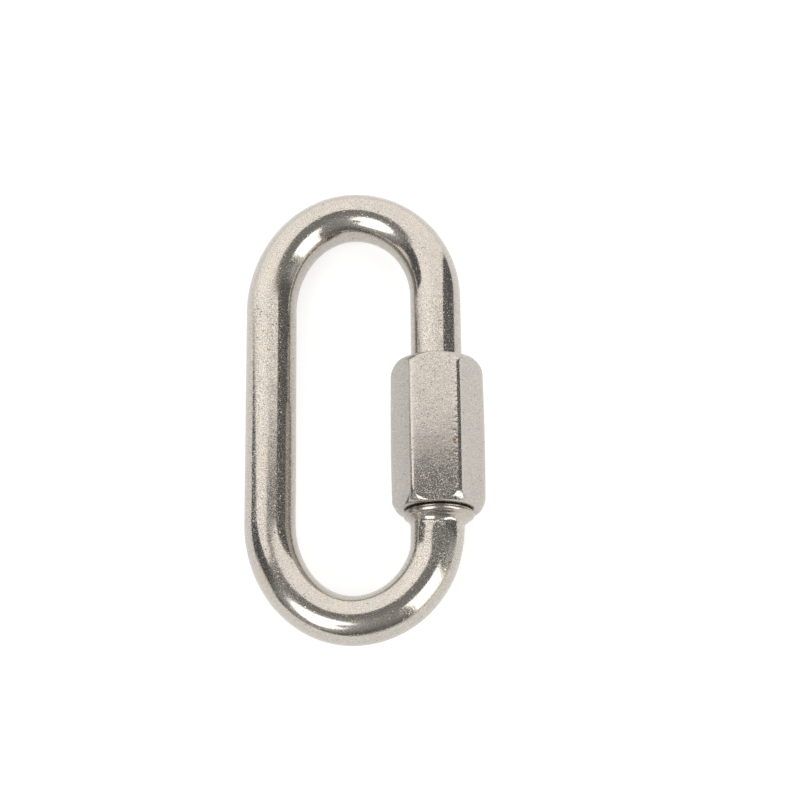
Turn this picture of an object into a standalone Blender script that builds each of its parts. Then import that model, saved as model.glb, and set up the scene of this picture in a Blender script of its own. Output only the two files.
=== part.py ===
"""Chain quick link, 8 mm, lying as it rests on a bench.

Two pieces. The link body is one round steel rod bent into a long eye, with its
two ends facing each other across a gate in one of the long limbs. The lower
end carries an upset collar and a short threaded stub, the upper end a threaded
tip. A hexagonal sleeve nut closes the gate: it bears on the collar, holds both
threaded ends, and screws up along the limb to open it.

Frame: +Y along the link, +X towards the limb that carries the nut, +Z up. The
origin is under the middle of the whole object, at the height of what it lies
on. The nut's flats are parallel to the link's plane, as they are when it is
screwed home, and the link lies leaning up towards the nut, on the underside of
the plain limb and on one long edge of the nut. Both touch z = 0. All lengths are
in metres.
"""

from math import asin, cos, hypot, pi, radians, sin, sqrt

import bmesh
import bpy
from mathutils import Matrix, Vector

MM = 0.001

# ---------------------------------------------------------------- the rod
ROD_D = 8.0 * MM  # stock diameter
LIMB_SPACING = 26.0 * MM  # between the two limb axes: 18 mm clear inside
AXIS_LENGTH = 66.0 * MM  # along the rod's axis, from end bend to end bend
BEND_EXTRA_GATE = 1.2 * MM  # how much longer than a semicircle each bend is,
BEND_EXTRA_SPINE = 2.7 * MM  # on the gate side and on the plain side
BEND_THINNING = 0.047  # the rod narrows by this much in the plane of the bend

# ---------------------------------------------------------------- the gate
NUT_FLATS = 13.0 * MM  # across flats, a 13 mm spanner
NUT_LENGTH = 24.0 * MM
NUT_FOOT_Y = -16.35 * MM  # where the closed nut's lower end stands
NUT_EDGE_R = 1.2 * MM  # rounding along the six long edges
NUT_FACE_R = 6.3 * MM  # end face, inside the turned chamfer
NUT_CHAMFER_DEEP = 2.4 * MM  # how far the chamfer's curve runs up a corner
NUT_CHAMFER_TOP_R = 7.40 * MM  # radius where that curve runs out
SEAT_GAP = 0.3 * MM  # closed nut to collar
THREAD_PITCH = 1.25 * MM  # M8 coarse
OPENING_TURNS = 9
NUT_TRAVEL = OPENING_TURNS * THREAD_PITCH  # 11.25 mm from shut to open
THREAD_R = 3.7 * MM  # plain cylinder standing for the male thread
NUT_THREAD_R = 4.0 * MM  # plain bore standing for the nut's thread
NUT_THREAD_LENGTH = 12.05 * MM
NUT_RELIEF_R = 4.3 * MM  # upper bore, which passes over the plain rod
STUB_ABOVE_NUT_FOOT = 2.3 * MM
GATE_OPENING = 9.0 * MM  # stub end to tip end
TIP_SHOULDER_Y = 7.5 * MM  # where the plain rod starts, inside the nut's mouth

COLLAR_R = 5.45 * MM

# ---------------------------------------------------------------- fineness
RING_SIDES = 32
BEND_STEPS = 14  # per quarter
NUT_SIDES = 48

ROD_R = ROD_D / 2
HALF_W = LIMB_SPACING / 2
HALF_L = AXIS_LENGTH / 2
# Distance from the nut's axis to the middle of each edge's rounding.
NUT_EDGE_MIDDLE = (NUT_FLATS / 2 - NUT_EDGE_R) / cos(pi / 6)


def lying():
    """(tilt, height of the nut's axis) of the link at rest. The more it leans,
    the higher the nut stands on its edge, so the two are settled in turns."""
    tilt = 0.0
    for _ in range(40):
        height = NUT_EDGE_MIDDLE * sin(pi / 3 + tilt) + NUT_EDGE_R
        tilt = asin((height - ROD_R) / LIMB_SPACING)
    return tilt, height


LYING_TILT, GATE_Z = lying()
NUT_REACH = NUT_EDGE_MIDDLE * cos(LYING_TILT) + NUT_EDGE_R
# The origin is halfway between the plain limb's outer side and the nut's edge.
CENTRE_X = (ROD_R - NUT_REACH) / 2
GATE_X = CENTRE_X + HALF_W * cos(LYING_TILT)
LINK_Z = (GATE_Z + ROD_R) / 2


def clear_scene():
    for obj in list(bpy.data.objects):
        bpy.data.objects.remove(obj, do_unlink=True)


def steel(name, colour, roughness):
    material = bpy.data.materials.new(name)
    material.use_nodes = True
    shader = material.node_tree.nodes["Principled BSDF"]
    shader.inputs["Base Color"].default_value = (*colour, 1.0)
    shader.inputs["Metallic"].default_value = 1.0
    shader.inputs["Roughness"].default_value = roughness
    material.diffuse_color = (*colour, 1.0)
    return material


def object_from(name, bm, material=None, parent=None):
    mesh = bpy.data.meshes.new(name)
    bmesh.ops.recalc_face_normals(bm, faces=bm.faces)
    bm.to_mesh(mesh)
    bm.free()
    obj = bpy.data.objects.new(name, mesh)
    bpy.context.scene.collection.objects.link(obj)
    if material:
        mesh.materials.append(material)
    obj.parent = parent
    return obj


def empty(name, location, tilt=0.0):
    obj = bpy.data.objects.new(name, None)
    obj.empty_display_size = 0.01
    obj.location = location
    obj.rotation_euler = (0.0, tilt, 0.0)
    bpy.context.scene.collection.objects.link(obj)
    return obj


# ------------------------------------------------------------ the link body
def bend(extra, side, end):
    """Points of one quarter bend, from its limb to the link's end: a quarter of
    an ellipse, HALF_W across and HALF_W + extra along. Each is (x, y, share),
    and share goes from 0 on the limb to 1 at the end."""
    points = []
    for i in range(BEND_STEPS + 1):
        a = pi / 2 * i / BEND_STEPS
        x = side * HALF_W * cos(a)
        y = end * (HALF_L - HALF_W - extra + (HALF_W + extra) * sin(a))
        points.append((x, y, i / BEND_STEPS))
    return points


def rod_axis():
    """The plain part of the rod from under the collar, round the lower bend, up
    the plain limb, round the upper bend and down to the gate: (x, y, thinning)."""
    lower_gate = bend(BEND_EXTRA_GATE, 1, -1)
    lower_spine = bend(BEND_EXTRA_SPINE, -1, -1)[::-1]
    upper_spine = bend(BEND_EXTRA_SPINE, -1, 1)
    upper_gate = bend(BEND_EXTRA_GATE, 1, 1)[::-1]
    route = lower_gate + lower_spine[1:]
    low, high = lower_spine[-1][1], upper_spine[0][1]
    route += [(-HALF_W, low + (high - low) * k / 4, 0.0) for k in (1, 2, 3)]
    route += upper_spine + upper_gate[1:]
    return [(x, y, BEND_THINNING * s * s * (3 - 2 * s)) for x, y, s in route]


def collar_profile():
    """(y, radius) down the gate limb from the stub's end to the plain rod."""
    top = NUT_FOOT_Y - SEAT_GAP
    stub_end = NUT_FOOT_Y + STUB_ABOVE_NUT_FOOT
    rows = [(stub_end, THREAD_R - 0.6 * MM), (stub_end - 0.6 * MM, THREAD_R)]
    rows += [(top, THREAD_R), (top, COLLAR_R - 0.22 * MM)]
    rows += [(top - 0.2 * MM, COLLAR_R), (top - 0.65 * MM, COLLAR_R)]
    # Flare from the collar down to the rod: a half wave of cosine, slightly
    # steeper in its middle, as an upset bead leaves it.
    high, low = top - 0.65 * MM, top - 2.35 * MM
    for k in range(1, 7):
        t = k / 6
        radius = ROD_R + (COLLAR_R - ROD_R) * (1 + cos(pi * t)) / 2
        rows.append((high + (low - high) * t, radius))
    return rows


def tip_profile():
    """(y, radius) down the gate limb from the plain rod to the upper tip's end."""
    end = NUT_FOOT_Y + STUB_ABOVE_NUT_FOOT + GATE_OPENING
    return [
        (TIP_SHOULDER_Y + 3 * MM, ROD_R),
        (TIP_SHOULDER_Y, ROD_R),
        (TIP_SHOULDER_Y - 0.3 * MM, THREAD_R),
        (end + 0.6 * MM, THREAD_R),
        (end, THREAD_R - 0.6 * MM),
    ]


def ring(bm, x, y, direction, in_plane, upright):
    """One ring of vertices round the rod's axis, square to the way it runs. They
    are placed so that one is the lowest point of the lying plain limb."""
    across = Vector((direction.y, -direction.x, 0.0))
    up = Vector((0.0, 0.0, 1.0))
    centre = Vector((x, y, 0.0))
    made = []
    for i in range(RING_SIDES):
        a = 2 * pi * i / RING_SIDES - LYING_TILT
        made.append(bm.verts.new(centre + across * in_plane * cos(a) + up * upright * sin(a)))
    return made


def build_link_body(material, parent):
    bm = bmesh.new()
    down = Vector((0.0, -1.0, 0.0))
    rings = [ring(bm, HALF_W, y, down, r, r) for y, r in collar_profile()]
    route = rod_axis()
    for i, (x, y, thin) in enumerate(route):
        before, after = route[max(i - 1, 0)], route[min(i + 1, len(route) - 1)]
        if i in (0, len(route) - 1):
            way = down
        else:
            way = Vector((after[0] - before[0], after[1] - before[1], 0.0)).normalized()
        rings.append(ring(bm, x, y, way, ROD_R * (1 - thin), ROD_R))
    rings += [ring(bm, HALF_W, y, down, r, r) for y, r in tip_profile()]
    for a, b in zip(rings, rings[1:]):
        for i in range(RING_SIDES):
            j = (i + 1) % RING_SIDES
            bm.faces.new((a[i], a[j], b[j], b[i]))
    bm.faces.new(rings[0])
    bm.faces.new(rings[-1][::-1])
    obj = object_from("link_body", bm, material, parent)
    obj.data.shade_smooth()
    obj.data.set_sharp_from_angle(angle=radians(28))
    return obj


# ------------------------------------------------------------ the sleeve nut
def hexagon():
    """The nut's section, two of its flats parallel to the link's plane: (x, z)
    round the outline."""
    points = []
    for k in range(6):
        at = pi / 3 * k
        for step in range(-4, 5):
            a = at + step / 4 * pi / 6
            points.append(
                (
                    NUT_EDGE_MIDDLE * cos(at) + NUT_EDGE_R * cos(a),
                    NUT_EDGE_MIDDLE * sin(at) + NUT_EDGE_R * sin(a),
                )
            )
    return points


def prism(name, outline, low, high):
    """An outline in X and Z, extruded from y = low to y = high."""
    bm = bmesh.new()
    foot = [bm.verts.new((x, low, z)) for x, z in outline]
    face = bm.faces.new(foot)
    grown = bmesh.ops.extrude_face_region(bm, geom=[face])["geom"]
    moved = [v for v in grown if isinstance(v, bmesh.types.BMVert)]
    bmesh.ops.translate(bm, verts=moved, vec=(0.0, high - low, 0.0))
    return object_from(name, bm)


def turned(name, profile, sides=NUT_SIDES):
    """A solid of revolution about Y. The profile is (y, radius), from end to end."""
    bm = bmesh.new()
    first = bm.verts.new((0.0, profile[0][0], 0.0))
    last = bm.verts.new((0.0, profile[-1][0], 0.0))
    rows = []
    for y, radius in profile:
        rows.append(
            [
                bm.verts.new(
                    (
                        radius * cos(2 * pi * (i + 0.5) / sides),
                        y,
                        radius * sin(2 * pi * (i + 0.5) / sides),
                    )
                )
                for i in range(sides)
            ]
        )
    for a, b in zip(rows, rows[1:]):
        for i in range(sides):
            j = (i + 1) % sides
            bm.faces.new((a[i], b[i], b[j], a[j]))
    for i in range(sides):
        j = (i + 1) % sides
        bm.faces.new((first, rows[0][i], rows[0][j]))
        bm.faces.new((last, rows[-1][j], rows[-1][i]))
    return object_from(name, bm)


def chamfer_curve():
    """(depth from the end face, radius): an arc that leaves the end face's rim
    and runs out level with the nut's corners."""
    rise = NUT_CHAMFER_TOP_R - NUT_FACE_R
    arc_r = (NUT_CHAMFER_DEEP**2 + rise**2) / (2 * rise)
    rows = []
    for k in range(7):
        depth = NUT_CHAMFER_DEEP * k / 6
        back = NUT_CHAMFER_DEEP - depth
        rows.append((depth, NUT_CHAMFER_TOP_R - arc_r + sqrt(arc_r**2 - back**2)))
    return rows


def helper(obj, parent):
    obj.parent = parent
    obj.hide_render = True
    obj.display_type = "WIRE"
    return obj


def boolean(obj, other, operation):
    modifier = obj.modifiers.new(other.name, "BOOLEAN")
    modifier.operation = operation
    modifier.solver = "EXACT"
    modifier.object = other


def build_sleeve_nut(material, parent):
    low, high = NUT_FOOT_Y, NUT_FOOT_Y + NUT_LENGTH
    nut = prism("sleeve_nut", hexagon(), low, high)
    nut.data.materials.append(material)
    nut.parent = parent

    # Both ends turned down to round faces, which cuts the arcs on the flats.
    curve = chamfer_curve()
    barrel = [(low + depth, radius) for depth, radius in curve]
    barrel += [(low + NUT_CHAMFER_DEEP + 0.2 * MM, 9 * MM), (high - NUT_CHAMFER_DEEP - 0.2 * MM, 9 * MM)]
    barrel += [(high - depth, radius) for depth, radius in reversed(curve)]
    boolean(nut, helper(turned("nut_end_form", barrel, 72), parent), "INTERSECT")

    # Threaded bore below, relieved bore above, a lead-in at each mouth.
    step = low + NUT_THREAD_LENGTH
    bore = [
        (low - 1 * MM, NUT_THREAD_R + 0.45 * MM),
        (low, NUT_THREAD_R + 0.45 * MM),
        (low + 0.45 * MM, NUT_THREAD_R),
        (step, NUT_THREAD_R),
        (step + 0.3 * MM, NUT_RELIEF_R),
        (high - 0.4 * MM, NUT_RELIEF_R),
        (high, NUT_RELIEF_R + 0.4 * MM),
        (high + 1 * MM, NUT_RELIEF_R + 0.4 * MM),
    ]
    boolean(nut, helper(turned("nut_bore_form", bore), parent), "DIFFERENCE")
    nut.data.shade_smooth()
    nut.data.set_sharp_from_angle(angle=radians(14))
    return nut


def main():
    clear_scene()
    link_steel = steel("link_steel", (0.60, 0.575, 0.54), 0.30)
    nut_steel = steel("nut_steel", (0.63, 0.605, 0.57), 0.33)
    # The link's plane leans up towards the nut, which is thicker than the rod.
    link_lay = empty("link_lay", (CENTRE_X, 0.0, LINK_Z), -LYING_TILT)
    nut_axis = empty("nut_axis", (GATE_X, 0.0, GATE_Z), -LYING_TILT)
    build_link_body(link_steel, link_lay)
    build_sleeve_nut(nut_steel, nut_axis)


main()
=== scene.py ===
"""The looks of the chain quick link: two finely modelled steel pieces around the
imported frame, a pale floor and soft studio light."""

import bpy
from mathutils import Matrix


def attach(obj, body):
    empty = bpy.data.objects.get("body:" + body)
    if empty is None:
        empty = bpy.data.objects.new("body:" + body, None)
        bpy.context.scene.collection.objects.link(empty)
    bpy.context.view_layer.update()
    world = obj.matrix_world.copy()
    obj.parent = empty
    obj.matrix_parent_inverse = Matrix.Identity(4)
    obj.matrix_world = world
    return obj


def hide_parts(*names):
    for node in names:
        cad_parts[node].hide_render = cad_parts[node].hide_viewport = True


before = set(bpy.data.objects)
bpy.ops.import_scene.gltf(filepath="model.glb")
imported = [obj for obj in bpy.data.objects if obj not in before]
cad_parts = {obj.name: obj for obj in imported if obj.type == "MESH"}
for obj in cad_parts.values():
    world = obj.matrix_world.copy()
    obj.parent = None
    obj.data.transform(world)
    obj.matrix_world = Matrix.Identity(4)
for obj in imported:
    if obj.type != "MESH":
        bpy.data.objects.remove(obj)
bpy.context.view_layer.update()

from math import asin, cos, pi, radians, sin, sqrt

import bpy
import numpy as np
from mathutils import Matrix, Vector, noise

MM = 0.001

# ------------------------------------------------------------ dimensions
# The same real sizes as the frame's, in millimetres. The rod and the nut are
# a little under size, so that the round forms stay inside the faceted ones.
ROD_R = 3.985
HALF_W = 13.0
HALF_L = 33.0
EXTRA_GATE, EXTRA_SPINE = 1.2, 2.7
BEND_THINNING = 0.047
NUT_FLATS = 13.0
NUT_EDGE_R = 1.2
NUT_LENGTH = 24.0
FOOT = -16.35
PITCH = 1.25
EDGE_MIDDLE = (NUT_FLATS / 2 - NUT_EDGE_R) / cos(pi / 6)
LYING_TILT = 0.0
for _ in range(40):
    GATE_Z = EDGE_MIDDLE * sin(pi / 3 + LYING_TILT) + NUT_EDGE_R
    LYING_TILT = asin((GATE_Z - 4.0) / 26.0)
CENTRE_X = (4.0 - EDGE_MIDDLE * cos(LYING_TILT) - NUT_EDGE_R) / 2
GATE_X = CENTRE_X + HALF_W * cos(LYING_TILT)
LINK_Z = (GATE_Z + 4.0) / 2
COLLAR_TOP = FOOT - 0.15
STUB_END = FOOT + 2.3
TIP_END = STUB_END + 9.0
SHOULDER = 7.5
THREAD_STEP = 0.08


# ------------------------------------------------------------ small helpers
def smooth(t):
    t = np.clip(t, 0.0, 1.0)
    return t * t * (3 - 2 * t)


def softmin(a, b, k):
    """The smaller of two radii, with the edge between them rounded over k."""
    h = np.clip(0.5 + 0.5 * (b - a) / k, 0, 1)
    return b * (1 - h) + a * h - k * h * (1 - h)


def fbm(points, size, octaves=3, seed=0.0):
    """Smooth noise, about -1 to 1, whose broadest lumps are `size` mm across."""
    out = np.empty(len(points))
    off = Vector((seed * 3.1, seed * 1.7, seed * 2.3))
    for i, p in enumerate(points):
        out[i] = noise.fractal(Vector(p) / size + off, 0.6, 2.0, octaves)
    return out


def mesh_object(name, points_mm, faces, place):
    mesh = bpy.data.meshes.new(name)
    pts = points_mm * MM
    mesh.from_pydata(pts.tolist(), [], faces)
    mesh.transform(place)
    mesh.update()
    mesh.shade_smooth()
    obj = bpy.data.objects.new(name, mesh)
    bpy.context.scene.collection.objects.link(obj)
    return obj


def store(obj, name, values):
    attribute = obj.data.attributes.new(name, "FLOAT", "POINT")
    attribute.data.foreach_set("value", np.asarray(values, np.float32))


def grid_faces(rows, sides, flip=False):
    faces = []
    for r in range(rows - 1):
        for i in range(sides):
            j = (i + 1) % sides
            a, b, c, d = r * sides + i, r * sides + j, (r + 1) * sides + j, (r + 1) * sides + i
            faces.append((a, d, c, b) if flip else (a, b, c, d))
    return faces


# ------------------------------------------------------------ threads
def thread_radius(y, angle, crest=3.92, root=3.30):
    """Radius of the male M8 x 1.25 thread, a right-hand helix about +Y."""
    phase = np.mod(y / PITCH + angle / (2 * pi), 1.0)
    d = np.abs(phase - 0.5) * PITCH  # 0 at the middle of the root
    flat, flank = 0.15, 0.36
    return root + (crest - root) * smooth((d - flat) / flank)


# ------------------------------------------------------------ the link body
SIDES = 112


def bend(extra, side, end, steps=80):
    a = np.linspace(0, pi / 2, steps + 1)
    x = side * HALF_W * np.cos(a)
    y = end * (HALF_L - HALF_W - extra + (HALF_W + extra) * np.sin(a))
    return np.c_[x, y, np.linspace(0, 1, steps + 1)]


def rod_route():
    lg = bend(EXTRA_GATE, 1, -1)
    ls = bend(EXTRA_SPINE, -1, -1)[::-1]
    us = bend(EXTRA_SPINE, -1, 1)
    ug = bend(EXTRA_GATE, 1, 1)[::-1]
    y = np.linspace(ls[-1, 1], us[0, 1], 60)[1:-1]
    spine = np.c_[np.full(len(y), -HALF_W), y, np.zeros(len(y))]
    return np.vstack([lg, ls[1:], spine, us, ug[1:]])


def neck(y):
    """Radius of the rod under the collar: upsetting left it a little thicker."""
    return ROD_R + 0.16 * float(1 - smooth((-19.0 - y) / 5.0))


def collar_rows():
    """(y, radius) under the thread: seat face, thin upset ring, groove, bead,
    step and flare, down to the plain rod."""
    t = COLLAR_TOP
    rows = [(t, 3.30), (t, 3.9), (t, 4.6), (t, 5.04)]
    for k in range(1, 9):  # rounded upper rim of the thin ring
        a = pi / 2 * k / 8
        rows.append((t - 0.11 * (1 - cos(a)), 5.22 + 0.11 * sin(a)))
    rows += [(t - 0.17, 5.33), (t - 0.21, 5.29), (t - 0.24, 5.235), (t - 0.27, 5.23), (t - 0.295, 5.27)]
    for k in range(0, 9):  # the bead: a short rise, then a face that slopes away
        a = pi * (0.06 + 0.38 * k / 8)
        rows.append((t - 0.31 - 0.17 * (1 - cos(a)), 5.26 + 0.20 * sin(a)))
    for k in range(1, 13):
        s = k / 12
        rows.append((t - 0.45 - 0.40 * s, 5.4565 - 0.06 * s - 0.13 * s * s))
    rows += [(t - 0.875, 5.235), (t - 0.89, 5.16), (t - 0.91, 5.11)]
    for k in range(1, 37):  # the flare, a cone that softens into the neck
        y = 0.91 + (2.26 - 0.91) * k / 36
        cone = 5.09 - (y - 0.91) * 0.92
        rows.append((t - y, -softmin(np.array([-cone]), np.array([-neck(t - y)]), 0.30)[0]))
    return rows


def build_link():
    rings, marks = [], []
    angle = 2 * pi * np.arange(SIDES) / SIDES

    # recess_shade is painted shade for each ring: threads, rod ends and the collar under the nut are darkened
    def add(x, y, way, in_r, out_r, recess_shade=0.0):
        # the rod leans inwards a little before its bend begins
        if x > 4 and y < -17:
            x -= 0.24 * float(smooth((-17.0 - y) / 2.0) * (1 - smooth((-20.0 - y) / 5.0)))
        n = np.array([way[1], -way[0]])
        c, s = np.cos(angle) * in_r, np.sin(angle) * out_r
        pts = np.empty((SIDES, 3))
        pts[:, 0] = x + c * n[0]
        pts[:, 1] = y + c * n[1]
        pts[:, 2] = s
        rings.append(pts)
        marks.append(np.full(SIDES, recess_shade))

    down = (0.0, -1.0)
    # polar angle in X and Z for the thread: across is -X on the gate limb
    spin = np.arctan2(np.sin(angle), -np.cos(angle))

    # stub, from its end down to the collar
    add(HALF_W, STUB_END, down, np.full(SIDES, 0.02), np.full(SIDES, 0.02), 0.6)
    add(HALF_W, STUB_END, down, np.full(SIDES, 2.95), np.full(SIDES, 2.95), 0.6)
    for y in np.arange(STUB_END, COLLAR_TOP + 0.02, -THREAD_STEP):
        taper = 3.05 + (STUB_END - y) * 1.1
        r = np.minimum(thread_radius(y, spin), taper)
        r = np.where(y < COLLAR_TOP + 0.35, np.minimum(r, 3.3 + 0 * r), r)
        add(HALF_W, y, down, r, r, 0.8)
    for y, radius in collar_rows():
        r = np.full(SIDES, radius)
        # painted shade on the collar: darkest right under the nut, fading out about 2.4 mm lower
        add(HALF_W, y, down, r, r, float(np.clip((y - (COLLAR_TOP - 2.4)) / 2.2, 0, 1)))
    # plain rod round to the gate again
    route = rod_route()
    ways = np.empty((len(route), 2))
    ways[1:-1] = route[2:, :2] - route[:-2, :2]
    ways[0] = ways[-1] = down
    ways /= np.linalg.norm(ways, axis=1)[:, None]
    for (x, y, share), way in zip(route, ways):
        thin = BEND_THINNING * share * share * (3 - 2 * share)
        radius = neck(y) if x > 4 and y < 0 else ROD_R
        add(x, y, way, np.full(SIDES, radius * (1 - thin)), np.full(SIDES, radius), 0.0)
    for y in np.linspace(18.6, SHOULDER + 0.05, 34):
        add(HALF_W, y, down, np.full(SIDES, ROD_R), np.full(SIDES, ROD_R), 0.0)
    # run-out, thread and end of the tip
    for y in np.arange(SHOULDER, TIP_END, -THREAD_STEP):
        r = thread_radius(y, spin)
        run_out = ROD_R - (SHOULDER - y) * 1.6
        r = np.maximum(r, np.minimum(run_out, ROD_R))
        r = np.minimum(r, 3.05 + (y - TIP_END) * 1.1)
        add(HALF_W, y, down, r, r, 0.8)
    add(HALF_W, TIP_END, down, np.full(SIDES, 2.95), np.full(SIDES, 2.95), 0.6)
    add(HALF_W, TIP_END, down, np.full(SIDES, 0.02), np.full(SIDES, 0.02), 0.6)

    n = len(rings)
    pts = np.vstack(rings)
    mark = np.concatenate(marks)
    # The hand of the bending and tumbling: the surface wanders by a hundredth
    # or two of a millimetre, which makes its reflections waver.
    centre = pts.reshape(n, SIDES, 3).mean(axis=1, keepdims=True)
    out = pts.reshape(n, SIDES, 3) - centre
    length = np.linalg.norm(out, axis=2, keepdims=True)
    wander = fbm(pts, 7.0, 2, 1.0) * 0.010 + fbm(pts, 2.2, 2, 4.0) * 0.0015
    wander = (wander - 0.014) * (mark < 0.5)
    # the flare was squeezed out by the upsetting and is uneven
    under = (pts[:, 0] > 5) * smooth((COLLAR_TOP - 0.85 - pts[:, 1]) / 0.3) * (1 - smooth((COLLAR_TOP - 2.3 - pts[:, 1]) / 1.6))
    wander = (wander + under * (fbm(pts, 1.3, 2, 11.0) * 0.045 + fbm(pts, 0.45, 2, 13.0) * 0.018)).reshape(n, SIDES, 1)
    pts = (pts.reshape(n, SIDES, 3) + out / np.maximum(length, 1e-6) * wander).reshape(-1, 3)

    faces = grid_faces(n, SIDES, flip=True)
    faces.append(tuple(range(SIDES)))
    faces.append(tuple(range((n - 1) * SIDES, n * SIDES))[::-1])
    place = Matrix.Translation((CENTRE_X * MM, 0, LINK_Z * MM)) @ Matrix.Rotation(-LYING_TILT, 4, "Y")
    obj = mesh_object("link_rod", pts, faces, place)
    store(obj, "recess_shade", mark)
    y = pts[:, 1]
    sandy = 0.62 + 0.38 * (1 - smooth((np.abs(y + 1.0) - 16.0) / 6.0))
    sandy[(pts[:, 0] > 5) & (y < -16) & (y > -26)] = 1.0
    sandy[(pts[:, 0] > 5) & (y < COLLAR_TOP + 0.5) & (y > COLLAR_TOP - 2.0)] = 0.55
    store(obj, "sandy", sandy)
    store(obj, "worn", np.zeros(len(pts)))
    return obj


# ------------------------------------------------------------ the sleeve nut
def hex_radius(angle, flats, edge):
    """Radius of a hexagon with rounded corners; its flats face up and down."""
    half = flats / 2
    # angle from the nearest corner (corners at 0, 60, ... degrees)
    a = np.mod(angle + pi / 6, pi / 3) - pi / 6
    flat = half / np.cos(pi / 6 - np.abs(a))
    middle = half / cos(pi / 6) - edge / cos(pi / 6)
    reach = np.sqrt(np.maximum(edge**2 - (middle * np.sin(a)) ** 2, 0)) + middle * np.cos(a)
    limit = np.arctan2(edge * sin(pi / 6), middle + edge * cos(pi / 6))
    return np.where(np.abs(a) < limit, reach, flat)


def nut_angles():
    """Angles round the nut, closer together at the six corners."""
    out = []
    for k in range(6):
        base = pi / 3 * k
        near = np.linspace(-0.1, 0.1, 17)
        far = np.linspace(0.1, pi / 3 - 0.1, 14)[1:-1]
        out.append(base + near)
        out.append(base + far)
    return np.concatenate(out)


def build_nut():
    length = NUT_LENGTH - 0.02
    low = FOOT + 0.01
    high = low + length
    flats = NUT_FLATS - 0.02
    angles = nut_angles()
    sides = len(angles)

    # outer surface, from the lower end to the upper
    d = np.concatenate([np.linspace(0, 2.6, 60)[1:], np.linspace(2.6, length - 2.6, 150)[1:-1], length - np.linspace(2.6, 0, 60)[:-1]])
    face_r, top_r, deep = 6.28, 7.39, 2.4
    rise = top_r - face_r
    arc = (deep**2 + rise**2) / (2 * rise)

    def barrel(x, fuller):
        back = np.maximum(deep - x, 0)
        return top_r - arc + np.sqrt(arc**2 - back**2) + fuller * (back / deep) ** 2

    rows, edge_mark, ding_mark = [], [], []
    hexr = hex_radius(angles, flats, np.where(np.abs(angles - 2 * pi / 3) < pi / 6, 0.75, NUT_EDGE_R))
    corner = np.clip((hexr - 7.02) / 0.22, 0, 1)
    ux, uz = np.cos(angles), np.sin(angles)
    for x in d:
        end = min(x, length - x)
        cone = barrel(end, 0.14 if x < deep else 0.0) if end < deep else 9.0
        r = softmin(hexr, np.full(sides, cone), 0.10)
        # a small round where the chamfer meets the end face
        r = r - 0.22 * (1 - sqrt(1 - (1 - min(end / 0.22, 1)) ** 2))
        rows.append(np.c_[r * ux, np.full(sides, low + x), r * uz])
        edge_mark.append(corner * (end > 1.2))
        ding_mark.append(corner * (end > 1.2) * np.where(np.abs(angles - 2 * pi / 3) < 0.3, 0.10, 1.0))
    outer = np.vstack(rows)
    edges = np.concatenate(edge_mark)
    radial = np.c_[outer[:, 0], np.zeros(len(outer)), outer[:, 2]]
    radial /= np.linalg.norm(radial, axis=1)[:, None]
    # flats are never quite flat, and tumbling has dinged the long edges
    dull = fbm(outer, 6.0, 2, 7.0) * 0.006
    dings = fbm(outer, 0.7, 3, 9.0)
    dents = -np.abs(dings) * 0.022 * np.concatenate(ding_mark)
    # finishing has crowned the flats a little towards both ends
    crown = 0.00090 * (outer[:, 1] - (low + high) / 2) ** 2
    outer = outer + radial * (dull - 0.012 + dents - crown)[:, None]

    # the end faces and the bore, on their own even ring of points
    bore_sides = sides
    def circle(radius, y):
        radius = np.full(bore_sides, radius) if np.isscalar(radius) else radius
        return np.c_[radius * ux, np.full(bore_sides, y), radius * uz]

    foot_rows = [circle(r, low) for r in (6.16, 5.75, 5.2, 4.75)]
    mouth = [circle(4.62, low + 0.05), circle(4.45, low + 0.22)]
    thread = []
    for y in np.arange(low + 0.30, low + 12.3, 0.10):
        r = thread_radius(y, angles) + 0.10
        r = np.maximum(r, 4.42 - (y - low - 0.28) * 1.3)
        r = np.maximum(r, 4.29 - (low + 12.3 - y) * 1.3)
        thread.append(circle(r, y))
    relief = [circle(4.30, low + 12.36), circle(4.30, low + 16), circle(4.30, low + 20), circle(4.30, high - 0.42)]
    relief += [circle(4.33, high - 0.36), circle(4.62, high - 0.06), circle(4.70, high)]
    head_rows = [circle(r, high) for r in (5.2, 5.7, 6.04)]

    inner = foot_rows + mouth + thread + relief + head_rows
    # one closed tube: outer going up, then the upper face, and down the bore
    loop = np.vstack([outer, np.vstack(inner[::-1])])
    n = len(loop) // sides
    faces = grid_faces(n, sides, flip=True)
    last = (n - 1) * sides
    for i in range(sides):
        j = (i + 1) % sides
        faces.append((last + i, i, j, last + j))
    place = Matrix.Translation((GATE_X * MM, 0, GATE_Z * MM)) @ Matrix.Rotation(-LYING_TILT, 4, "Y")
    obj = mesh_object("nut_sleeve", loop, faces, place)
    in_bore = np.concatenate([np.zeros(len(outer)), np.full(len(loop) - len(outer), 0.0)])
    k = len(outer)
    # painted shade down the bore: darkest on the thread, less at the mouth and the relief, faint on the end faces
    names = [0.15] * len(head_rows) + [0.6] * len(relief) + [1.0] * len(thread) + [0.7] * len(mouth) + [0.15] * len(foot_rows)
    for value in names:
        in_bore[k : k + sides] = value
        k += sides
    store(obj, "recess_shade", in_bore)
    store(obj, "sandy", np.ones(len(loop)))
    store(obj, "worn", np.concatenate([edges, np.zeros(len(loop) - len(outer))]))
    return obj


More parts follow.
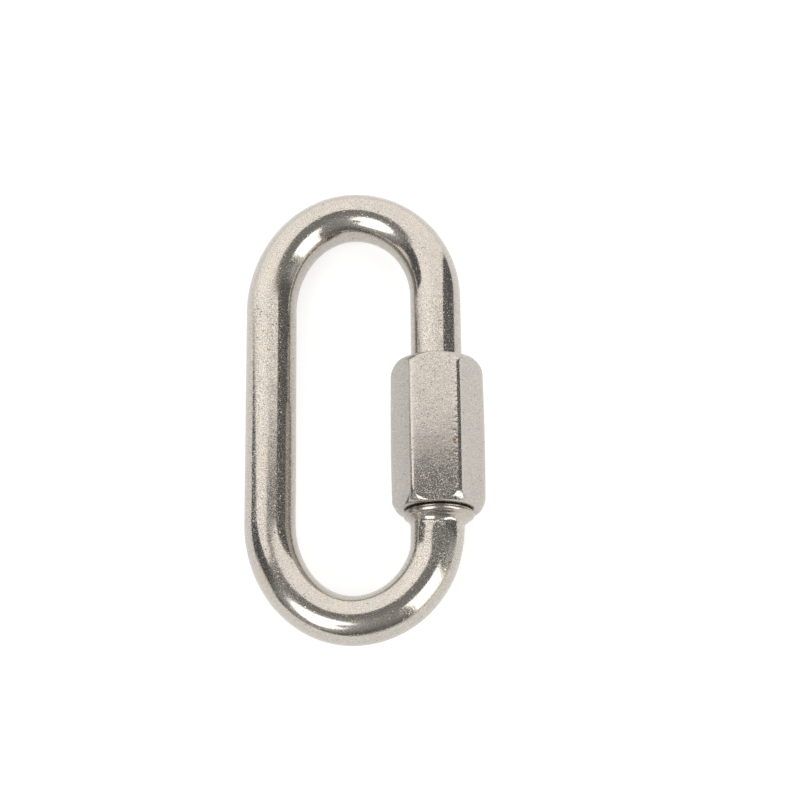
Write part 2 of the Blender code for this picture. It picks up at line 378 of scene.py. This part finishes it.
# ------------------------------------------------------------ materials
class Nodes:
    """A short way to write a node tree."""

    def __init__(self, material):
        self.tree = material.node_tree
        self.tree.nodes.clear()

    def new(self, kind, **values):
        node = self.tree.nodes.new("ShaderNode" + kind)
        for key, value in values.items():
            if hasattr(node, key):
                setattr(node, key, value)
            else:
                node.inputs[key.replace("_", " ")].default_value = value
        return node

    def link(self, a, b):
        self.tree.links.new(a, b)

    def ramp(self, source, stops):
        node = self.new("ValToRGB")
        ramp = node.color_ramp
        while len(ramp.elements) < len(stops):
            ramp.elements.new(0.5)
        for element, (at, value) in zip(ramp.elements, stops):
            element.position = at
            value = (value, value, value) if isinstance(value, (int, float)) else value
            element.color = (*value, 1.0)
        self.link(source, node.inputs[0])
        return node.outputs[0]

    def math(self, operation, a, b=None, clamp=False):
        node = self.new("Math", operation=operation)
        node.use_clamp = clamp
        for i, v in enumerate((a, b)):
            if v is None:
                continue
            if isinstance(v, (int, float)):
                node.inputs[i].default_value = v
            else:
                self.link(v, node.inputs[i])
        return node.outputs[0]

    def mix(self, factor, a, b, kind="MIX"):
        node = self.new("Mix", data_type="RGBA")
        node.blend_type = kind
        if isinstance(factor, (int, float)):
            node.inputs[0].default_value = factor
        else:
            self.link(factor, node.inputs[0])
        for socket, v in ((node.inputs[6], a), (node.inputs[7], b)):
            if isinstance(v, tuple):
                socket.default_value = (*v, 1.0)
            else:
                self.link(v, socket)
        return node.outputs[2]


# two small brown specks near the right edge of the nut's upper flat
SPECKS = [((0.01352, -0.00690, 0.01358), 0.00030), ((0.01362, -0.00745, 0.01359), 0.00016), ((0.01340, -0.00862, 0.01357), 0.00019)]

# painted shade for tiny dents on the plain limb: dark spots in a short line near its upper end and a few half way down
DENT_SHADE_SPOTS = [((-0.0167, 0.01713, 0.00739), 0.00013), ((-0.01664, 0.01673, 0.00742), 0.00015), ((-0.01639, 0.01567, 0.00756), 0.00012), ((-0.01627, 0.0158, 0.00762), 0.00015), ((-0.01614, 0.01606, 0.00768), 0.00012), ((-0.01581, 0.01288, 0.0078), 0.00014), ((-0.01658, 0.01407, 0.00746), 0.0001), ((-0.01402, -0.00358, 0.00796), 0.00013), ((-0.01368, -0.00385, 0.0079), 0.00016), ((-0.01382, -0.00451, 0.00793), 0.00014)]


def steel(name, colour, rough, grain, speckled, seed, specks=(), speck_colour=(0.26, 0.11, 0.06)):
    """Tumbled stainless steel: fine sandy grain over a soft orange peel, small pits, faint warm and cool patches, and
    painted shade, darker and browner, in the threads, the bore and under the nut."""
    material = bpy.data.materials.new(name)
    material.use_nodes = True
    n = Nodes(material)
    out = n.new("OutputMaterial")
    bsdf = n.new("BsdfPrincipled", Metallic=1.0)
    n.link(bsdf.outputs[0], out.inputs[0])
    where = n.new("TexCoord").outputs["Object"]
    moved = n.new("Mapping")
    moved.inputs["Location"].default_value = (seed * 0.013, seed * 0.007, seed * 0.011)
    n.link(where, moved.inputs[0])
    at = moved.outputs[0]

    def noise_of(scale, detail=3.0, rough_=0.55):
        node = n.new("TexNoise")
        node.inputs["Scale"].default_value = scale
        node.inputs["Detail"].default_value = detail
        node.inputs["Roughness"].default_value = rough_
        n.link(at, node.inputs["Vector"])
        return node.outputs["Fac"]

    sand = noise_of(6600.0, 0.0, 0.4)
    tone = noise_of(9000.0, 1.0, 0.5)
    sandy = n.new("Attribute", attribute_name="sandy").outputs["Fac"]
    peel = noise_of(1300.0, 2.0, 0.5)
    lumps = noise_of(420.0, 2.0, 0.5)
    broad = noise_of(90.0, 3.0, 0.55)

    cells = n.new("TexVoronoi")
    cells.inputs["Scale"].default_value = 1500.0
    n.link(at, cells.inputs["Vector"])
    pit_shape = n.math("LESS_THAN", cells.outputs["Distance"], 0.16)
    pick = n.new("SeparateColor")
    n.link(cells.outputs["Color"], pick.inputs[0])
    pit_pick = n.math("GREATER_THAN", pick.outputs[0], 0.90)
    pits = n.math("MULTIPLY", pit_shape, pit_pick)

    # sparse shallow dimples, which glint
    spread = n.new("TexVoronoi")
    spread.inputs["Scale"].default_value = 2600.0
    n.link(at, spread.inputs["Vector"])
    chance = n.new("SeparateColor")
    n.link(spread.outputs["Color"], chance.inputs[0])
    glints = n.math("MULTIPLY", n.ramp(spread.outputs["Distance"], [(0.05, 1.0), (0.40, 0.0)]), n.math("GREATER_THAN", chance.outputs[1], 0.88))

    recess_shade = n.new("Attribute", attribute_name="recess_shade").outputs["Fac"]
    worn = n.new("Attribute", attribute_name="worn").outputs["Fac"]

    base = n.mix(n.ramp(broad, [(0.35, 0.0), (0.68, 1.0)]), tuple(c * 0.965 for c in colour), colour)
    base = n.mix(n.ramp(lumps, [(0.42, 0.0), (0.72, 1.0)]), base, tuple(min(1, c * k) for c, k in zip(colour, (1.03, 1.015, 0.99))))
    speckle = n.math("MULTIPLY", n.math("SUBTRACT", n.ramp(tone, [(0.34, 0.0), (0.66, 1.0)]), 0.5), sandy)
    low, high = 1 - 0.40 * speckled, 1 + 0.30 * speckled
    base = n.mix(n.math("ADD", speckle, 0.5), n.mix(1.0, base, (low, low, low), "MULTIPLY"), n.mix(1.0, base, (high, high, high), "MULTIPLY"))
    base = n.mix(n.math("MULTIPLY", worn, 0.5), base, tuple(min(1, c * 1.16) for c in colour))
    base = n.mix(pits, base, (0.16, 0.13, 0.11))
    # painted shade: darker and browner where recess_shade marks threads, the bore and the collar under the nut
    base = n.mix(n.math("MULTIPLY", recess_shade, 0.35), base, (0.30, 0.25, 0.20))
    spots = None
    # listed spots: real brown specks on the nut, and painted dent shade on the limb
    for middle, size in specks:
        gap = n.new("VectorMath", operation="DISTANCE")
        n.link(where, gap.inputs[0])
        gap.inputs[1].default_value = middle
        edge = n.math("ADD", gap.outputs["Value"], n.math("MULTIPLY", n.math("SUBTRACT", tone, 0.5), 3.2 * size))
        spot = n.math("LESS_THAN", edge, size)
        spots = spot if spots is None else n.math("MAXIMUM", spots, spot)
    if spots is not None:
        base = n.mix(n.math("MULTIPLY", spots, 0.85), base, speck_colour)
    n.link(base, bsdf.inputs["Base Color"])

    r = n.ramp(peel, [(0.30, rough - 0.015), (0.70, rough + 0.03)])
    dimples = n.ramp(sand, [(0.56, 0.0), (0.72, 1.0)])
    r = n.math("ADD", r, n.math("MULTIPLY", n.math("MULTIPLY", n.ramp(sand, [(0.54, 0.0), (0.68, 1.0)]), sandy), 0.34))
    r = n.math("ADD", r, n.math("MULTIPLY", pits, 0.3))
    r = n.math("ADD", r, n.math("MULTIPLY", recess_shade, 0.10))
    n.link(r, bsdf.inputs["Roughness"])

    height = n.math("ADD", n.math("MULTIPLY", n.math("MULTIPLY", dimples, sandy), -0.27 * grain), n.math("MULTIPLY", peel, 0.30 * grain))
    height = n.math("ADD", height, n.math("MULTIPLY", lumps, 0.4 * grain))
    height = n.math("SUBTRACT", height, n.math("MULTIPLY", n.math("MULTIPLY", glints, sandy), 2.4 * grain))
    height = n.math("SUBTRACT", height, n.math("MULTIPLY", pits, 1.2))
    bump = n.new("Bump")
    bump.inputs["Strength"].default_value = 1.0
    bump.inputs["Distance"].default_value = 0.000012
    n.link(height, bump.inputs["Height"])
    n.link(bump.outputs[0], bsdf.inputs["Normal"])
    return material


def pale_floor():
    material = bpy.data.materials.new("pale_floor")
    material.use_nodes = True
    n = Nodes(material)
    out = n.new("OutputMaterial")
    bsdf = n.new("BsdfPrincipled", Roughness=0.9)
    bsdf.inputs["Specular IOR Level"].default_value = 0.1
    n.link(bsdf.outputs[0], out.inputs[0])
    where = n.new("TexCoord").outputs["Object"]
    grain = n.new("TexNoise")
    grain.inputs["Scale"].default_value = 60.0
    n.link(where, grain.inputs["Vector"])
    n.link(n.ramp(grain.outputs["Fac"], [(0.3, (0.565, 0.565, 0.565)), (0.7, (0.575, 0.575, 0.575))]), bsdf.inputs["Base Color"])
    # lit a little from beneath, as on a light table, which keeps shadows faint
    bsdf.inputs["Emission Color"].default_value = (1.0, 1.0, 1.0, 1.0)
    bsdf.inputs["Emission Strength"].default_value = 0.60
    return material


# ------------------------------------------------------------ studio
def build_floor():
    mesh = bpy.data.meshes.new("studio_floor")
    size = 2.4
    mesh.from_pydata([(-size, -size, 0), (size, -size, 0), (size, size, 0), (-size, size, 0)], [], [(0, 1, 2, 3)])
    floor = bpy.data.objects.new("studio_floor", mesh)
    floor.location = (0, 0, -0.00002)
    bpy.context.scene.collection.objects.link(floor)
    mesh.materials.append(pale_floor())
    return floor


class Sky:
    """The studio round the object, painted by direction on the world. A place in
    it is (x, y) in hundreds of degrees from straight up, towards +X and +Y, so
    the horizon is at 0.9 all round."""

    def __init__(self, tree):
        self.tree = tree
        place = tree.nodes.new("ShaderNodeTexCoord").outputs["Generated"]
        split = tree.nodes.new("ShaderNodeSeparateXYZ")
        tree.links.new(place, split.inputs[0])
        x, y, z = split.outputs
        zenith = self.math("ARCCOSINE", self.math("MINIMUM", self.math("MAXIMUM", z, -0.9999), 0.9999))
        level = self.math("SQRT", self.math("SUBTRACT", 1.0001, self.math("MULTIPLY", z, z)))
        self.r = self.math("MULTIPLY", zenith, 1.8 / pi)
        k = self.math("DIVIDE", self.r, level)
        self.x, self.y = self.math("MULTIPLY", x, k), self.math("MULTIPLY", y, k)
        self.colour = None

    def math(self, operation, a, b=None):
        node = self.tree.nodes.new("ShaderNodeMath")
        node.operation = operation
        for i, v in enumerate((a, b)):
            if isinstance(v, (int, float)):
                node.inputs[i].default_value = v
            elif v is not None:
                self.tree.links.new(v, node.inputs[i])
        return node.outputs[0]

    def step(self, value, at, soft):
        """0 below at, 1 above, smooth over 2 * soft."""
        node = self.tree.nodes.new("ShaderNodeMapRange")
        node.interpolation_type = "SMOOTHSTEP"
        self.tree.links.new(value, node.inputs["Value"])
        node.inputs["From Min"].default_value = at - soft
        node.inputs["From Max"].default_value = at + soft
        return node.outputs[0]

    def both(self, a, b):
        return self.math("MULTIPLY", a, b)

    def but(self, a):
        return self.math("SUBTRACT", 1.0, a)

    def oval(self, cx, cy, rx, ry, soft):
        dx = self.math("DIVIDE", self.math("SUBTRACT", self.x, cx), rx)
        dy = self.math("DIVIDE", self.math("SUBTRACT", self.y, cy), ry)
        d = self.math("SQRT", self.math("ADD", self.math("MULTIPLY", dx, dx), self.math("MULTIPLY", dy, dy)))
        return self.but(self.step(d, 1.0, soft))

    def patch(self, corners, soft):
        """A convex patch; its corners go round clockwise as seen from below."""
        mask = None
        for (ax, ay), (bx, by) in zip(corners, corners[1:] + corners[:1]):
            nx, ny = by - ay, ax - bx
            size = sqrt(nx * nx + ny * ny)
            nx, ny = nx / size, ny / size
            d = self.math("ADD", self.math("MULTIPLY", self.x, nx), self.math("MULTIPLY", self.y, ny))
            inside = self.step(d, ax * nx + ay * ny, soft)
            mask = inside if mask is None else self.both(mask, inside)
        return mask

    def above(self, points, soft):
        """1 where y is above a line through the points, which run along x."""
        node = self.tree.nodes.new("ShaderNodeValToRGB")
        self.tree.links.new(self.math("MULTIPLY", self.math("ADD", self.x, 1.0), 0.5), node.inputs[0])
        stops = node.color_ramp.elements
        while len(stops) < len(points):
            stops.new(0.5)
        for stop, (px, py) in zip(stops, points):
            stop.position = (px + 1) / 2
            stop.color = (py, py, py, 1.0)
        return self.step(self.math("SUBTRACT", self.y, node.outputs[0]), 0.0, soft)

    def paint(self, mask, radiance):
        node = self.tree.nodes.new("ShaderNodeMix")
        node.data_type = "RGBA"
        if self.colour is None:
            node.inputs[6].default_value = (*radiance, 1.0)
            node.inputs[7].default_value = (*radiance, 1.0)
        else:
            self.tree.links.new(self.colour, node.inputs[6])
            node.inputs[7].default_value = (*radiance, 1.0)
        if mask is not None:
            self.tree.links.new(mask, node.inputs[0])
        self.colour = node.outputs[2]


def build_studio():
    world = bpy.data.worlds.new("studio")
    bpy.context.scene.world = world
    world.use_nodes = True
    tree = world.node_tree
    tree.nodes.clear()
    sky = Sky(tree)
    # the dim room: grey overhead, darker low down and to the sides
    sky.paint(None, (0.330, 0.326, 0.322))
    sky.paint(sky.both(sky.step(sky.r, 0.56, 0.12), sky.but(sky.step(sky.y, 0.0, 0.10))), (0.160, 0.154, 0.148))
    sky.paint(sky.oval(-0.02, -0.38, 0.50, 0.26, 0.8), (0.44, 0.425, 0.41))
    sky.paint(sky.oval(-0.36, -0.40, 0.34, 0.34, 0.4), (0.62, 0.61, 0.60))
    sky.paint(sky.oval(-0.76, 0.09, 0.32, 0.24, 0.35), (0.150, 0.153, 0.158))
    sky.paint(sky.patch([(0.28, 0.11), (0.28, 0.70), (0.90, 0.70), (0.90, 0.07)], 0.05), (0.185, 0.183, 0.181))
    sky.paint(sky.oval(0.68, -0.02, 0.15, 0.075, 0.5), (0.61, 0.64, 0.65))
    # pale paper where the floor meets the room
    sky.paint(sky.both(sky.step(sky.r, 0.83, 0.05), sky.both(sky.step(sky.x, 0.0, 0.3), sky.but(sky.step(sky.y, 0.08, 0.06)))), (0.99, 0.97, 0.91))
    sky.paint(sky.oval(-0.86, -0.18, 0.08, 0.17, 0.5), (1.22, 1.14, 0.98))
    sky.paint(sky.oval(0.64, -0.38, 0.22, 0.26, 0.35), (1.25, 1.20, 1.05))
    # the white sweep beyond the object
    edge = [(-1.0, 0.40), (-0.94, 0.360), (-0.84, 0.320), (-0.75, 0.272), (-0.68, 0.238), (-0.59, 0.195), (-0.50, 0.10), (-0.41, 0.04), (-0.27, 0.105), (-0.15, 0.158), (-0.09, 0.175), (0.03, 0.179), (0.13, 0.180), (0.28, 0.186), (0.31, 0.24), (0.47, 0.41), (0.66, 0.60), (1.0, 0.95)]
    sky.paint(sky.above(edge, 0.020), (1.63, 1.565, 1.505))
    sky.paint(sky.both(sky.oval(-0.42, 0.26, 0.26, 0.16, 0.6), sky.above(edge, 0.020)), (1.79, 1.72, 1.65))
    # the two softboxes
    sky.paint(sky.patch([(0.305, -0.02), (0.72, -0.26), (0.54, -0.55), (0.144, -0.205)], 0.035), (3.6, 3.58, 3.5))
    left = sky.both(sky.oval(-0.325, -0.360, 0.212, 0.225, 0.20), sky.but(sky.oval(-0.150, -0.42, 0.080, 0.065, 0.4)))
    sky.paint(left, (3.6, 3.58, 3.5))
    back = tree.nodes.new("ShaderNodeBackground")
    out = tree.nodes.new("ShaderNodeOutputWorld")
    tree.links.new(sky.colour, back.inputs[0])
    tree.links.new(back.outputs[0], out.inputs[0])


def build_camera():
    data = bpy.data.cameras.new("camera")
    data.sensor_width = 36.0
    data.lens = 99.754
    data.clip_start = 0.01
    data.clip_end = 20.0
    camera = bpy.data.objects.new("camera", data)
    forward = Vector((0.028269, 0.323414, -0.945835)).normalized()
    upward = Vector((0.001982, 0.946193, 0.323595))
    right = forward.cross(upward).normalized()
    upward = right.cross(forward).normalized()
    turn = Matrix((right, upward, -forward)).transposed()
    camera.matrix_world = Matrix.Translation((-0.004201, -0.109639, 0.332477)) @ turn.to_4x4()
    bpy.context.scene.collection.objects.link(camera)
    bpy.context.scene.camera = camera


build_camera()
build_floor()
build_studio()
bpy.context.scene.view_settings.view_transform = "Standard"
bpy.context.scene.view_settings.look = "None"

link = build_link()
link.data.materials.append(steel("link_steel", (0.476, 0.450, 0.415), 0.060, 1.0, 1.3, 1.0, DENT_SHADE_SPOTS, (0.15, 0.13, 0.12)))
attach(link, "link")
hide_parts("link_body")

nut = build_nut()
nut.data.materials.append(steel("nut_steel", (0.438, 0.414, 0.384), 0.060, 1.1, 0.95, 5.0, SPECKS))
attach(nut, "nut")
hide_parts("sleeve_nut")
